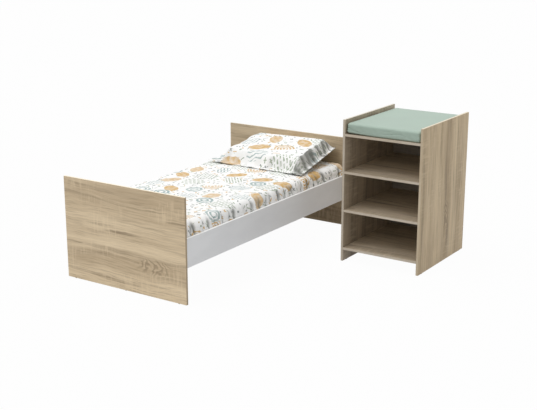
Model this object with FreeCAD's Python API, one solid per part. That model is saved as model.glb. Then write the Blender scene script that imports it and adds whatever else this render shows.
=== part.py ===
import FreeCAD, Part
import math
import os

# A nursery set in its later state: a single bed with panel ends, and the open shelf unit
# with a changing place on top, which stands free beside the head end.
# Lengths are millimetres. +Z is up, +X runs from the bed to the shelf unit, +Y from the
# footboard to the headboard. The origin is on the floor under the middle of the whole set.

Vector = FreeCAD.Vector
UP = Vector(0, 0, 1)
DOWN = Vector(0, 0, -1)
RIGHT = Vector(1, 0, 0)
LEFT = Vector(-1, 0, 0)
HEADWARD = Vector(0, 1, 0)
FOOTWARD = Vector(0, -1, 0)

# Boards, which both pieces of furniture are cut from
board = 16.0                   # thickness of the laminated boards
edge_break = 0.8               # chamfer on the edges of boards
overrun = 1.0                  # how far a cutter passes the face that it opens
flat_tolerance = 0.00000001    # corners nearer to a plane than this make one face

# Mattress, which sets the size of the bed
mattress_width = 900.0
mattress_length = 1900.0
mattress_height = 150.0
mattress_side_clearance = 3.0  # mattress to rail
mattress_foot_gap = 10.0       # mattress to footboard
mattress_head_gap = 34.0       # mattress to headboard
mattress_corner = 60.0         # plan radius of its corners
mattress_edge = 42.0           # radius of its upper and lower edges
mattress_crown = 5.0           # rise of the middle above the edges
mattress_draw_in = 1.5         # sides drawn in between the corners
mattress_waist = 1.5           # sides drawn in at half height

# Fitted sheet over the mattress
sheet_thickness = 0.8
sheet_gap = 0.3                # sheet to mattress

# Pillow, which leans on the headboard
pillow_width = 690.0
pillow_depth = 520.0
pillow_rise = 80.0             # seam to the top of the swell
pillow_drop = 22.0             # seam to the underside
pillow_corner = 18.0
pillow_draw_in = 16.0
pillow_tilt = 9.0              # degrees, back edge up
rest_clearance = 0.3           # pillow to the sheet and to the headboard
pillow_corner_growth_share = 0.7
pillow_inset_shares = (0.03, 0.1, 0.22, 0.38, 0.58, 0.8)

# Bed ends and side rails
end_height = 658.0             # footboard and headboard
headboard_overhang = 130.0     # headboard past the footboard, each side
rail_thickness = 16.0
rail_height = 180.0
rail_lift = 227.0              # floor to the rail's lower edge
rail_inset = 6.0               # rail's outer face behind the footboard's edge

# Slatted base
mattress_sink = 66.0           # rail's upper edge to the top of the slats
slat_count = 13
slat_width = 70.0
slat_thickness = 18.0
slat_edge_break = 2.0
slat_end_clearance = 3.0       # slat to rail
batten_width = 20.0
batten_height = 30.0
batten_end_gap = 22.0          # batten to the end boards
tape_width = 25.0
tape_thickness = 1.0
tape_inset = 110.0             # slat's end to the tape
batten_screw_shares = (0.05, 0.28, 0.5, 0.72, 0.95)

# Shelf unit
unit_gap = 336.0               # footboard's edge to the unit's left side
unit_setback = 1230.0          # footboard's outer face to the unit's front
bottom_shelf_lift = 81.0       # floor to the bottom shelf's underside
lower_niche = 243.0
middle_niche = 242.0
upper_niche = 232.0
guard_rise = 93.0              # sides above the changing top
back_thickness = 3.0
back_inset = 2.0               # back panel's edge behind the sides' outer faces
back_nail_shares = (0.25, 0.75)

# Changing pad, which sets the size of the unit
pad_width = 504.0
pad_depth = 680.0
pad_height = 73.0
pad_side_gap = 15.0            # pad to each side
pad_front_setback = 8.0        # unit's front to the pad
pad_back_gap = 5.0             # pad to the back panel
pad_corner = 26.0
pad_edge = 15.0
pad_crown = 3.0
pad_draw_in = 4.0
pad_waist = 2.0

# Swell of the cushions, as shares of the way from the edge to the middle
crown_shares = (0.25, 0.5, 0.75)
edge_step_shares = (0.0, 0.25, 0.5, 0.75, 1.0)
side_step_shares = (-1.0, -0.5, 0.0, 0.5, 1.0)
corner_facets = 4

# Cam fittings: a bolt screwed into one board, held by a cam let into the next
cam_radius = 7.4
cam_bore_depth = 12.5
cam_recess = 0.5               # cam's face below the board's face
cam_setback = 34.0             # board's end to the cam's axis
cam_slot_width = 1.4           # screwdriver slot
cam_slot_depth = 2.5
cam_slot_length = 10.0
cam_claw_sweep = 5.0           # rim that the turned cam has swung past the bolt's neck
cam_sides = 12                 # flats that a cam is turned in
hardware_sides = 8             # flats that slimmer hardware is turned in
bolt_thread_radius = 2.5
bolt_thread_length = 11.0
bolt_neck_radius = 1.7
bolt_neck_start = 26.0         # board's end to the neck
bolt_head_radius = 3.3
bolt_head_start = 30.2
bolt_head_length = 3.2
bolt_bore_radius = 4.0
fit_clearance = 0.1            # round hardware to its hole
end_clearance = 0.5            # hardware to the blind end of its hole
rail_cam_shares = (0.2, 0.8)   # places up the rail
shelf_cam_margin = 70.0        # shelf's front or back edge to its cams

# Shelf pins under the two middle shelves
pin_radius = 2.5
pin_depth = 9.0                # pin in the side
pin_head_radius = 3.5
pin_reach = 8.0                # pin under the shelf
shelf_pin_margin = 70.0        # shelf's front or back edge to its pins

# Dowels
dowel_radius = 4.0
dowel_length = 30.0
dowel_panel_depth = 11.0       # how far a dowel goes into the board it stands on
dowel_taper = 1.0

# Screws
screw_length = 30.0
screw_radius = 1.8
screw_head_radius = 3.8
screw_head_length = 2.4

# Nails of the back panel
nail_length = 19.0
nail_radius = 0.8
nail_head_radius = 2.4
nail_head_length = 0.8

# Floor glides, each a disc on a nail
glide_radius = 7.0
glide_height = 3.0
glide_chamfer = 0.8
glide_nail_radius = 1.1
glide_nail_length = 12.0
glide_margin = 60.0            # board's end to the glide

# Places that follow from the sizes above
rail_span = mattress_width + 2 * mattress_side_clearance
footboard_width = rail_span + 2 * rail_thickness + 2 * rail_inset
headboard_width = footboard_width + 2 * headboard_overhang
inner_length = mattress_foot_gap + mattress_length + mattress_head_gap
unit_span = pad_width + 2 * pad_side_gap
unit_width = unit_span + 2 * board
carcass_depth = pad_front_setback + pad_depth + pad_back_gap
set_width = headboard_overhang + footboard_width + unit_gap + unit_width
set_depth = inner_length + 2 * board

headboard_left = -set_width / 2
footboard_left = headboard_left + headboard_overhang
footboard_right = footboard_left + footboard_width
bed_middle = (footboard_left + footboard_right) / 2
foot_face = -set_depth / 2 + board
head_face = foot_face + inner_length
rail_top = rail_lift + rail_height
slat_top = rail_top - mattress_sink
slat_bottom = slat_top - slat_thickness
batten_bottom = slat_bottom - batten_height
mattress_middle = foot_face + mattress_foot_gap + mattress_length / 2

unit_left = footboard_right + unit_gap
unit_right = unit_left + unit_width
unit_inner_left = unit_left + board
unit_inner_right = unit_right - board
unit_front = -set_depth / 2 + unit_setback
unit_back = unit_front + carcass_depth
lower_shelf_lift = bottom_shelf_lift + board + lower_niche
upper_shelf_lift = lower_shelf_lift + board + middle_niche
changing_top_lift = upper_shelf_lift + board + upper_niche
changing_face = changing_top_lift + board
unit_height = changing_face + guard_rise

pieces = {}
cutters = {}


def bore(node, cutter):
    """Note a shape that is bored out of a node's solid before it is written."""
    cutters.setdefault(node, []).append(cutter)


def block(low, high):
    """Box between two opposite corners."""
    size = high.sub(low)
    return Part.makeBox(size.x, size.y, size.z, low)


def cut_board(low, high, directions, chamfer):
    """Box between two corners, with the edges that run along the given directions chamfered."""
    solid = block(low, high)
    edges = []
    for edge in solid.Edges:
        run = edge.tangentAt(edge.FirstParameter)
        if any(round(abs(run.dot(direction))) for direction in directions):
            edges.append(edge)
    return solid.makeChamfer(chamfer, edges)


def facets(first, second, third, fourth):
    """Flat faces between four corners: one where they lie in a plane, or else two triangles."""
    normal = (second - first).cross(third - first).normalize()
    if abs((fourth - first).dot(normal)) < flat_tolerance:
        outlines = [(first, second, third, fourth, first)]
    else:
        outlines = [(first, second, third, first), (first, third, fourth, first)]
    return [Part.Face(Part.makePolygon(outline)) for outline in outlines]


def skin(rings):
    """Solid whose skin runs from ring to ring of corners; the first and last ring are closed over."""
    faces = [Part.Face(Part.makePolygon(ring + ring[:1])) for ring in (rings[0], rings[-1])]
    for near, far in zip(rings, rings[1:]):
        for index in range(len(near)):
            faces += facets(near[index - 1], near[index], far[index], far[index - 1])
    solid = Part.makeSolid(Part.makeShell(faces))
    if solid.Volume < 0:
        solid.reverse()
    return solid


def flats(radius, height, sides):
    """Ring of corners whose flats touch a circle, with a flat towards +X."""
    reach = radius / math.cos(math.pi / sides)
    turns = [(2 * side + 1) * math.pi / sides for side in range(sides)]
    return [Vector(reach * math.cos(turn), reach * math.sin(turn), height) for turn in turns]


def turned(steps, base, direction, sides=hardware_sides):
    """Turned solid in flats: steps are (distance along the axis, radius), from base towards direction."""
    solid = skin([flats(radius, along, sides) for along, radius in steps])
    solid.Placement = FreeCAD.Placement(base, FreeCAD.Rotation(UP, direction))
    return solid


def drilled(radius, depth, base, direction):
    """Cutter for a straight hole: it takes hardware of that radius, its clearance and a little depth."""
    wide = radius + fit_clearance
    return turned([(0, wide), (depth + end_clearance, wide)], base, direction)


def cushion_ring(width, depth, corner, draw_in, height):
    """Ring of corners at a height: four sides bowed inwards, joined by rounds in short facets."""
    points = []
    halves = ((width / 2, depth / 2), (depth / 2, width / 2))
    for quarter in range(4):
        out = Vector(math.cos(quarter * math.pi / 2), math.sin(quarter * math.pi / 2), 0)
        along = UP.cross(out)
        reach, half = halves[quarter % 2]
        for share in side_step_shares:
            bow = draw_in * (1 - share ** 2)
            points.append(out * (reach - bow) + along * (share * (half - corner)) + UP * height)
        centre = out * (reach - corner) + along * (half - corner) + UP * height
        for facet in range(1, corner_facets):
            turn = facet / corner_facets * math.pi / 2
            points.append(centre + out * (corner * math.cos(turn)) + along * (corner * math.sin(turn)))
    return points


def cushion_rings(width, depth, height, corner, edge, crown, draw_in, waist, grow=0):
    """Rings of a crowned cushion from its underside to its top, grown all round where asked.

    The edges are quarter rounds, the sides draw in at half height and the top swells."""
    shoulder = height - crown
    sections = []
    for share in edge_step_shares:
        angle = share * math.pi / 2
        sections.append((edge * (1 - math.cos(angle)), edge * (1 - math.sin(angle))))
    upper = [(shoulder - rise, inset) for rise, inset in reversed(sections)]
    sections += [(shoulder / 2, waist)] + upper
    for share in crown_shares:
        rise = crown * (1 - (1 - share) ** 2)
        sections.append((shoulder + rise, edge + share * (min(width, depth) / 2 - edge)))
    return [cushion_ring(width + 2 * (grow - inset), depth + 2 * (grow - inset), corner, draw_in,
                         rise + grow * rise / height) for rise, inset in sections]


def pillow_rings():
    """Rings of the pillow about its seam: they shrink and round off above and below the seam."""
    half = pillow_depth / 2
    sections = [(0, 0)]
    for share in pillow_inset_shares:
        swell = math.sqrt(1 - (1 - share) ** 2)
        sections.append((pillow_rise * swell, share))
        sections.insert(0, (-pillow_drop * swell, share))
    rings = []
    for height, share in sections:
        inset = share * half
        rings.append(cushion_ring(pillow_width - 2 * inset, pillow_depth - 2 * inset,
                                  pillow_corner + inset * pillow_corner_growth_share * (1 - share),
                                  pillow_draw_in * (1 - share), height))
    return rings


def fitted_cam(thickness, base, along, face):
    """Cam with its pocket for the bolt's head, open rim and screwdriver slot, and its bore.

    base is on the bolted board's face, along runs into the board of that thickness that holds
    the cam, and face points out of the side that the cam is let into."""
    half = thickness / 2
    low = half - cam_bore_depth
    axis = Vector(cam_setback, 0, 0)
    cam = turned([(low, cam_radius), (half - cam_recess, cam_radius)], axis, UP, cam_sides)
    pocket_half = bolt_head_radius / math.cos(math.pi / hardware_sides) + fit_clearance
    pocket_radius = math.hypot(cam_setback - bolt_head_start, pocket_half) + fit_clearance
    pocket = turned([(-pocket_half, pocket_radius), (pocket_half, pocket_radius)], axis, UP, cam_sides)
    neck_half = bolt_neck_radius + fit_clearance
    rim = block(Vector(cam_setback - cam_radius - overrun, -cam_claw_sweep, -neck_half),
                Vector(cam_setback, neck_half, neck_half))
    slot_low = Vector(cam_setback - cam_slot_length / 2, -cam_slot_width / 2,
                      half - cam_recess - cam_slot_depth)
    slot_high = Vector(cam_setback + cam_slot_length / 2, cam_slot_width / 2, half + overrun)
    cam = cam.cut([pocket, rim, block(slot_low, slot_high)]).Solids[0]
    wide = cam_radius + fit_clearance
    hole = turned([(low, wide), (half + overrun, wide)], axis, UP, cam_sides)
    turn = FreeCAD.Placement(base, FreeCAD.Rotation(along, face.cross(along), face, "XYZ"))
    for shape in (cam, hole):
        shape.Placement = turn.multiply(shape.Placement)
    return cam, hole


def cam_joint(panel, holder, thickness, base, along, face):
    """Cam and bolt that pull the end of the holder board onto the panel; bores both boards."""
    cam, hole = fitted_cam(thickness, base, along, face)
    steps = [(-bolt_thread_length, bolt_thread_radius), (bolt_neck_start, bolt_thread_radius),
             (bolt_neck_start, bolt_neck_radius), (bolt_head_start, bolt_neck_radius),
             (bolt_head_start, bolt_head_radius), (bolt_head_start + bolt_head_length, bolt_head_radius)]
    bolt = turned(steps, base, along)
    bore(panel, drilled(bolt_thread_radius, bolt_thread_length, base, along.negative()))
    bore(holder, hole)
    bore(holder, turned([(0, bolt_bore_radius), (cam_setback, bolt_bore_radius)], base, along))
    return cam, bolt


def dowel_joint(panel, holder, base, along):
    """Dowel between a panel's face and the end of the holder board; bores both boards."""
    start = -dowel_panel_depth
    end = start + dowel_length
    slim = dowel_radius - dowel_taper
    dowel = turned([(start, slim), (start + dowel_taper, dowel_radius),
                    (end - dowel_taper, dowel_radius), (end, slim)], base, along)
    bore(panel, drilled(dowel_radius, dowel_panel_depth, base, along.negative()))
    bore(holder, drilled(dowel_radius, end, base, along))
    return dowel


def shelf_pin(panel, face, place, shelf_underside, inward):
    """Pin in a side's inner face, whose head carries the shelf above it; bores the side."""
    base = Vector(face, place, shelf_underside - pin_head_radius)
    bore(panel, drilled(pin_radius, pin_depth, base, inward.negative()))
    return turned([(-pin_depth, pin_radius), (0, pin_radius), (0, pin_head_radius),
                   (pin_reach, pin_head_radius)], base, inward)


def screw(through, into, base, along):
    """Countersunk screw from the face of one piece into the next; bores both pieces."""
    hole = turned([(0, screw_head_radius + fit_clearance), (screw_head_length, screw_radius + fit_clearance),
                   (screw_length + end_clearance, screw_radius + fit_clearance)], base, along)
    bore(through, hole)
    bore(into, hole)
    return turned([(0, screw_head_radius), (screw_head_length, screw_radius),
                   (screw_length, screw_radius)], base, along)


def nail(through, into, base, along):
    """Flat-headed nail through a thin panel into a board's edge; bores both."""
    steps = [(-nail_head_length, nail_head_radius), (0, nail_head_radius),
             (0, nail_radius), (nail_length, nail_radius)]
    for node in (through, into):
        bore(node, drilled(nail_radius, nail_length, base, along))
    return turned(steps, base, along)


def glide(node, base):
    """Floor glide under a board's lower edge, with its nail in the board."""
    rim = glide_radius - glide_chamfer
    steps = [(0, rim), (glide_chamfer, glide_radius), (glide_height, glide_radius),
             (glide_height, glide_nail_radius), (glide_height + glide_nail_length, glide_nail_radius)]
    bore(node, drilled(glide_nail_radius, glide_height + glide_nail_length, base, UP))
    return turned(steps, base, UP)


def make_bed_ends():
    """Footboard, headboard and the glides that they stand on."""
    all_ways = (RIGHT, HEADWARD, UP)
    ends = {"footboard": (footboard_left, footboard_width, foot_face - board),
            "headboard": (headboard_left, headboard_width, head_face)}
    for name, (left, width, face) in ends.items():
        low = Vector(left, face, glide_height)
        high = Vector(left + width, face + board, glide_height + end_height)
        pieces[name] = cut_board(low, high, all_ways, edge_break)
        places = (left + glide_margin, left + width / 2, left + width - glide_margin)
        middle = face + board / 2
        pieces[name + "_glides"] = [glide(name, Vector(place, middle, 0)) for place in places]


def make_side_rails():
    """Both rails, with the battens on their inner faces and all that fastens them."""
    cams, bolts, dowels, screws = [], [], [], []
    half_span = rail_span / 2
    for side, outward in (("left", LEFT), ("right", RIGHT)):
        rail, batten = "side_rail_" + side, "slat_batten_" + side
        inner = bed_middle + outward.x * half_span
        outer = inner + outward.x * rail_thickness
        pieces[rail] = cut_board(Vector(min(inner, outer), foot_face, rail_lift),
                                 Vector(max(inner, outer), head_face, rail_top), (HEADWARD,), edge_break)
        shelf = inner - outward.x * batten_width
        pieces[batten] = cut_board(Vector(min(inner, shelf), foot_face + batten_end_gap, batten_bottom),
                                   Vector(max(inner, shelf), head_face - batten_end_gap, slat_bottom),
                                   (HEADWARD,), edge_break)
        core = (inner + outer) / 2
        for panel, face, along in (("footboard", foot_face, HEADWARD), ("headboard", head_face, FOOTWARD)):
            for share in rail_cam_shares:
                base = Vector(core, face, rail_lift + share * rail_height)
                cam, bolt = cam_joint(panel, rail, rail_thickness, base, along, outward.negative())
                cams.append(cam)
                bolts.append(bolt)
            base = Vector(core, face, rail_lift + rail_height / 2)
            dowels.append(dowel_joint(panel, rail, base, along))
        batten_length = inner_length - 2 * batten_end_gap
        for share in batten_screw_shares:
            base = Vector(shelf, foot_face + batten_end_gap + share * batten_length,
                          batten_bottom + batten_height / 2)
            screws.append(screw(batten, rail, base, outward))
    pieces["rail_cam_locks"] = cams
    pieces["rail_cam_bolts"] = bolts
    pieces["rail_dowels"] = dowels
    pieces["batten_screws"] = screws


def make_slats():
    """Slats across the battens, the two tapes under them and the screws of the end slats."""
    half = rail_span / 2 - slat_end_clearance
    space = (inner_length - slat_count * slat_width) / (slat_count + 1)
    screws = []
    for index in range(slat_count):
        name = "slat_%02d" % (index + 1)
        start = foot_face + space + index * (space + slat_width)
        pieces[name] = cut_board(Vector(bed_middle - half, start, slat_bottom),
                                 Vector(bed_middle + half, start + slat_width, slat_top),
                                 (RIGHT,), slat_edge_break)
        if index in (0, slat_count - 1):
            for side, outward in (("left", LEFT), ("right", RIGHT)):
                reach = rail_span / 2 - batten_width / 2
                base = Vector(bed_middle + outward.x * reach, start + slat_width / 2, slat_top)
                screws.append(screw(name, "slat_batten_" + side, base, DOWN))
    pieces["slat_screws"] = screws
    for side, outward in (("left", LEFT), ("right", RIGHT)):
        centre = bed_middle + outward.x * (half - tape_inset)
        pieces["slat_tape_" + side] = block(
            Vector(centre - tape_width / 2, foot_face + space, slat_bottom - tape_thickness),
            Vector(centre + tape_width / 2, head_face - space, slat_bottom))


def make_bedding():
    """Mattress on the slats, the fitted sheet over it and the pillow against the headboard."""
    form = (mattress_width, mattress_length, mattress_height, mattress_corner, mattress_edge,
            mattress_crown, mattress_draw_in, mattress_waist)
    outside = cushion_rings(*form, grow=sheet_gap + sheet_thickness)
    inside = cushion_rings(*form, grow=sheet_gap)
    pieces["mattress"] = skin(cushion_rings(*form))
    pieces["fitted_sheet"] = skin(inside[::-1] + outside)
    for name in ("mattress", "fitted_sheet"):
        pieces[name].translate(Vector(bed_middle, mattress_middle, slat_top))
    sheet, pillow = pieces["fitted_sheet"], skin(pillow_rings())
    pillow.rotate(Vector(), RIGHT, pillow_tilt)
    pillow.translate(Vector(bed_middle, head_face - rest_clearance - pillow.BoundBox.YMax,
                            sheet.BoundBox.ZMax + rest_clearance - pillow.BoundBox.ZMin))
    pillow.translate(DOWN * (pillow.distToShape(sheet)[0] - rest_clearance))
    pieces["pillow"] = pillow


def make_unit():
    """Shelf unit: sides, fixed top and bottom, two shelves on pins, back panel and glides."""
    all_ways = (RIGHT, HEADWARD, UP)
    sides = {"unit_side_left": (unit_left, unit_inner_left, RIGHT),
             "unit_side_right": (unit_inner_right, unit_inner_right, LEFT)}
    fixed = {"bottom_shelf": bottom_shelf_lift, "changing_top": changing_top_lift}
    loose = {"lower_shelf": lower_shelf_lift, "upper_shelf": upper_shelf_lift}
    cams, bolts, dowels, pins, nails, glides = [], [], [], [], [], []
    for shelf, lift in {**fixed, **loose}.items():
        pieces[shelf] = cut_board(Vector(unit_inner_left, unit_front, lift),
                                  Vector(unit_inner_right, unit_back, lift + board), (RIGHT,), edge_break)
        for share in back_nail_shares:
            base = Vector(unit_inner_left + share * unit_span, unit_back + back_thickness, lift + board / 2)
            nails.append(nail("unit_back", shelf, base, FOOTWARD))
    for name, (left, face, inward) in sides.items():
        pieces[name] = cut_board(Vector(left, unit_front, glide_height),
                                 Vector(left + board, unit_back, unit_height), all_ways, edge_break)
        for place in (unit_front + glide_margin, unit_back - glide_margin):
            glides.append(glide(name, Vector(left + board / 2, place, 0)))
        for shelf, lift in fixed.items():
            core = lift + board / 2
            for place in (unit_front + shelf_cam_margin, unit_back - shelf_cam_margin):
                cam, bolt = cam_joint(name, shelf, board, Vector(face, place, core), inward, DOWN)
                cams.append(cam)
                bolts.append(bolt)
            dowels.append(dowel_joint(name, shelf, Vector(face, (unit_front + unit_back) / 2, core), inward))
        for lift in loose.values():
            for place in (unit_front + shelf_pin_margin, unit_back - shelf_pin_margin):
                pins.append(shelf_pin(name, face, place, lift, inward))
        for lift, niche in ((bottom_shelf_lift, lower_niche), (upper_shelf_lift, upper_niche)):
            base = Vector(left + board / 2, unit_back + back_thickness, lift + board + niche / 2)
            nails.append(nail("unit_back", name, base, FOOTWARD))
    pieces["unit_back"] = block(
        Vector(unit_left + back_inset, unit_back, bottom_shelf_lift),
        Vector(unit_right - back_inset, unit_back + back_thickness, changing_face))
    pieces["shelf_cam_locks"] = cams
    pieces["shelf_cam_bolts"] = bolts
    pieces["shelf_dowels"] = dowels
    pieces["shelf_pins"] = pins
    pieces["back_nails"] = nails
    pieces["unit_glides"] = glides


def make_changing_pad():
    """Crowned pad on the changing top, between the raised sides."""
    pad = skin(cushion_rings(pad_width, pad_depth, pad_height, pad_corner, pad_edge, pad_crown,
                             pad_draw_in, pad_waist))
    pad.translate(Vector((unit_left + unit_right) / 2,
                         unit_front + pad_front_setback + pad_depth / 2, changing_face))
    pieces["changing_pad"] = pad


def main():
    make_bed_ends()
    make_side_rails()
    make_slats()
    make_bedding()
    make_unit()
    make_changing_pad()
    os.makedirs("parts", exist_ok=True)
    for name, piece in pieces.items():
        shape = Part.makeCompound(piece) if isinstance(piece, list) else piece
        if name in cutters:
            shape = shape.cut(cutters[name])
        if not isinstance(piece, list):
            shape = shape.Solids[0]
        shape.exportStep("parts/%s.step" % name)


main()
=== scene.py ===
import math
from typing import NamedTuple

import bmesh
import bpy
import numpy as np
from bpy.props import FloatProperty, FloatVectorProperty, PointerProperty
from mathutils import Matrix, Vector


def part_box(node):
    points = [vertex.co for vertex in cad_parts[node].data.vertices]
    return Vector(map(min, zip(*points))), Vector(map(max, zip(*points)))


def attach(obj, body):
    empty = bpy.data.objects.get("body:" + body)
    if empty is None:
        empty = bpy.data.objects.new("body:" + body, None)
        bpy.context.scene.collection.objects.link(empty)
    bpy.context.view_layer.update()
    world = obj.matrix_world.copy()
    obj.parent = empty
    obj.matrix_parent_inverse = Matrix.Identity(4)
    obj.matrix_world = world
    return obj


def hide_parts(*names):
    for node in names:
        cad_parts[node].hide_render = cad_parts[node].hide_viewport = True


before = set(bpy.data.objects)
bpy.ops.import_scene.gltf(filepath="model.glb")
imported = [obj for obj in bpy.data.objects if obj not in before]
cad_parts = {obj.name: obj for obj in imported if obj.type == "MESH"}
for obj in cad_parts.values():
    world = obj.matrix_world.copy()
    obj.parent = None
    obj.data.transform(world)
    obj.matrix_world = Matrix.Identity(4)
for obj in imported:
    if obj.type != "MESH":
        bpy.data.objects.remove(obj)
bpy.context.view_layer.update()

bl_info = {
    "name": "Nursery bed and changing unit",
    "version": (1, 0, 0),
    "blender": (4, 5, 0),
    "location": "3D View > Sidebar > Nursery",
    "description": "Finishes, bedding and stage of a single bed with panel ends and an open changing unit",
    "category": "Object",
}

# Lengths are metres, in the frame of the packed model: +Z up, +X from the bed to the unit,
# +Y from the footboard to the headboard. Colours are scene linear.

AXIS = {"x": 0, "y": 1, "z": 2}
CLOTH_UV = "cloth"
# Point attribute that holds the painted shade in the folds of the cloth.
PAINTED_FOLD_SHADE = "fold"
NOISE_SEED = 4711
FLOOR_SPOTS = 13
SENSOR_WIDTH = 36.0

# Grids of the rounded blocks: columns round the outline, and rows of the underside, an edge, the side and
# half the top. Points nearer than the weld are one.
CORE_GRID = 240, (14, 6, 6, 12)
SHEET_GRID = 1180, (5, 8, 9, 26)
PAD_GRID = 620, (14, 7, 16, 24)
WELD = 0.0004

# Creases of gathered cloth: scatter, width and lean as shares of their spacing, ends as shares of the way up
# and how soft these are, and the width at the hem with its growth on the way up.
CREASE_SCATTER, CREASE_WIDTHS, CREASE_LEAN = 0.38, (0.11, 0.28), 0.9
CREASE_ENDS, CREASE_SOFTNESS = (0.80, 1.02), 0.04
CREASE_START, CREASE_GROWTH = 0.6, 0.8

# Gathers of the sheet, main and fine: how many to a main one, strength and least depth. Then the depth at
# which their painted shade starts, and how fast it darkens.
SHEET_GATHERS = (1.0, 1.0, 0.55), (2.6, 0.5, 0.3)
SHEET_PAINTED_SHADE_START, SHEET_PAINTED_SHADE_GAIN = 0.38, 1.3
# Share of the gathers that is left behind a rail, how far above the rail they start, and how softly.
TUCKED_SHARE, TUCK_START, TUCK_SOFTNESS = 0.15, 0.006, 0.003
# Share of the gathers that runs over the top, and how far, as a share of the way to the middle.
TOP_FADE, TOP_FADE_REACH = 0.35, 0.05
# Swell of the sheet's sides: mean, unevenness and its wavelengths, and where it starts on the way up.
PUFF_MEAN, PUFF_SWAY, PUFF_WAVES, PUFF_START = 0.6, 0.5, (0.23, 0.11, 0.071), 0.35
# Unevenness of its top: wavelengths across and along, and how far each set of waves is turned.
TOP_WAVES_X, TOP_WAVES_Y = (0.41, 0.23), (0.57, 0.29)
TOP_TURN_X, TOP_TURN_Y = 0.35, 0.2

# Pillow case: points across and back of a layer, how far the layers start apart, its place in the printed
# cloth, frames of the solver, and how fast the filling grows, in borders, and from where.
CASE_GRID = 116, 90
CASE_START = 0.012
CASE_PRINT = 3.05, 5.0
FILL_FRAMES, FILL_GROWTH, FILL_FROM = 36, 2, 0.3
# Gathers at its seams: breadth, least depth and where the last ones end, in borders. Then their strength and
# reach on the short sides and on the long ones, where they grow between two shares of the way to one side.
# Their painted shade starts at a depth and darkens by a gain, and on the side towards the light most of it
# is left out between two such shares.
SEAM_SPAN = 4.0
CASE_BREADTH, CASE_LEAST, CASE_END = 1.6, 0.7, 1.4
SHORT_STRENGTH, SHORT_REACH = 1.2, 1.15
LONG_STRENGTH, LONG_REACH, LONG_GROWTH = 0.25, 1.0, (0.3, 0.8)
CASE_PAINTED_SHADE_START, CASE_PAINTED_SHADE_GAIN = 0.15, 1.4
LIT_FROM, LIT_TO = -0.3, 0.3
FLUTTER_WAVES = 0.31, 0.17, 0.083
# How far in the bulge of the short sides ends, in borders, and where along them the case keeps its width.
BULGE_REACH, SPREAD_FROM = 3, 0.3

# Slack folds of the pad: height, sway and width, as shares of its height. Then their mean depth, its sway
# and the depth of the wrinkles, the wavelengths of all three, how they fade towards the edges, the slant of
# the wrinkles, and the reach of the lifted corner with the share of its lift that the top doesn't take.
PAD_FOLDS = (0.30, 0.16, 0.030), (0.62, 0.24, 0.045)
PAD_DEPTH, PAD_DEPTH_SWAY, PAD_WRINKLE = 0.45, 0.7, 0.25
PAD_LINE_WAVES, PAD_DEPTH_WAVES, PAD_WRINKLE_WAVES = (0.93, 0.47, 0.19), (0.61, 0.29), (0.21, 0.083, 0.047)
PAD_SIDE_POWER, PAD_SLANT = 0.6, 0.6
PAD_LIFT_REACH, PAD_LIFT_LOSS = 0.12, 0.8

# Marks on the boards, as shares of a board: middle along and across, half size along and across.
# A figure ends with its number of nested arcs, and a field with how much lighter or darker it is.
FOOT_FLAMES = ((0.50, 0.55, 0.20, 0.020), (0.30, 0.60, 0.16, 0.014), (0.94, 0.76, 0.12, 0.016),
               (0.06, 0.36, 0.12, 0.018), (0.52, 0.30, 0.20, 0.016), (0.62, 0.84, 0.30, 0.010))
FOOT_FIGURES = ((0.75, 0.285, 0.19, 0.095, 7.0),)
FOOT_FIELDS = ((0.40, 0.97, 1.1, 0.22, -0.30), (0.45, 0.62, 0.7, 0.09, 0.15), (0.60, 0.44, 0.7, 0.06, 0.12),
               (0.55, 0.25, 0.8, 0.11, -0.25), (0.55, 0.04, 1.0, 0.12, 0.45))
# Painted shadow: a dark field low on the headboard, where the bed's shadow falls.
HEAD_PAINTED_SHADOW = ((0.75, 0.10, 0.6, 0.34, -0.75),)
# Painted shade and light: shelves darker along their front and lighter further in, to even the niches' light.
SHELF_PAINTED_LIGHT_AND_SHADE = ((0.5, 0.0, 3.0, 0.12, -0.50), (0.5, 0.34, 3.0, 0.24, 0.50))
# Painted shade: a darker band down the left side towards its front.
LEFT_PAINTED_SHADE = ((0.5, 0.26, 3.0, 0.40, -0.60),)
SIDE_FLAMES = ((0.60, 0.53, 0.26, 0.035), (0.20, 0.60, 0.16, 0.030), (0.45, 0.05, 0.50, 0.030))
SIDE_FIGURES = ((0.33, 0.56, 0.13, 0.085, 5.0),)
SIDE_FIELDS = ((0.5, 0.05, 2.5, 0.07, -0.32), (0.5, 0.17, 2.5, 0.06, 0.10), (0.4, 0.36, 2.0, 0.07, 0.20),
               (0.5, 0.57, 1.6, 0.07, -0.45), (0.5, 0.71, 2.0, 0.05, 0.25), (0.5, 0.84, 2.5, 0.05, -0.25),
               (0.6, 0.95, 2.5, 0.05, 0.10))


class Grain(NamedTuple):
    """How the oak grain lies on a board, and the marks on the board.

    The tone darkens all the colours, grey draws them to their own mean, or away from it below zero, keen
    sets how dark the fine grain is, and a raw board has an undressed rear."""

    along: str
    across: str
    seed: float
    tone: float = 1.0
    grey: float = 0.0
    keen: float = 1.0
    flames: tuple = ()
    figures: tuple = ()
    fields: tuple = ()
    raw: bool = False


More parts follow.
